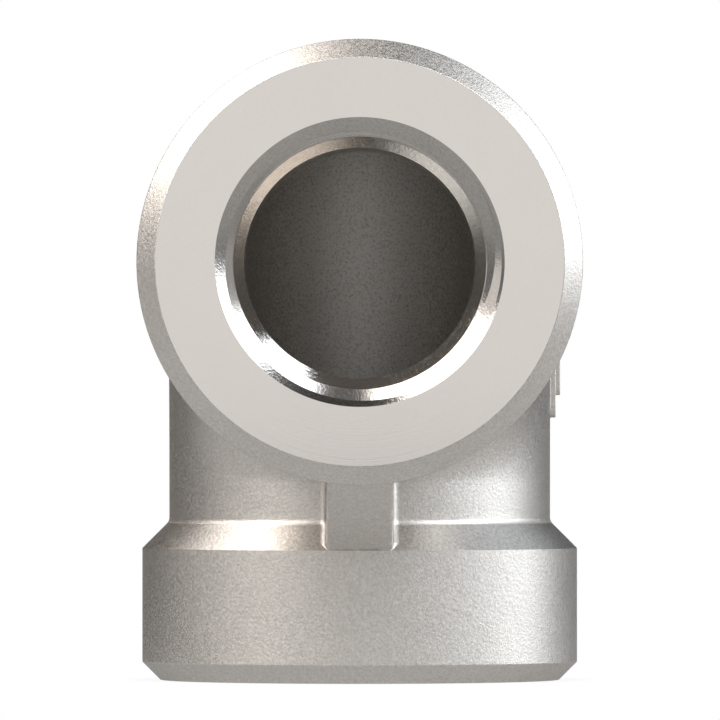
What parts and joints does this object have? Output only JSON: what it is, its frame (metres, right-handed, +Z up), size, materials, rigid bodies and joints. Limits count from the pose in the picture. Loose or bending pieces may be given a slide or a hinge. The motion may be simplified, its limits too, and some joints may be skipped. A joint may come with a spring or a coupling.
{
  "type": "threaded ninety degree elbow",
  "caption": "Forged stainless steel pipe elbow: equal legs at a right angle, thick end bands with internal pipe threads, and a small web in the inner corner.",
  "frame": {"origin": "centre of the lower leg's end face, on which the part stands", "axes": "+Z up along the lower leg's axis; the front leg's axis runs along -Y, out of its mouth; +X is the side with the raised pad"},
  "size_m": [0.033, 0.048, 0.048],
  "materials": {
    "stainless_steel": "satin blasted skin, turned end faces and thread bores"
  },
  "bodies": {
    "root": {"elbow_body": "stainless_steel"}
  },
  "joints": []
}
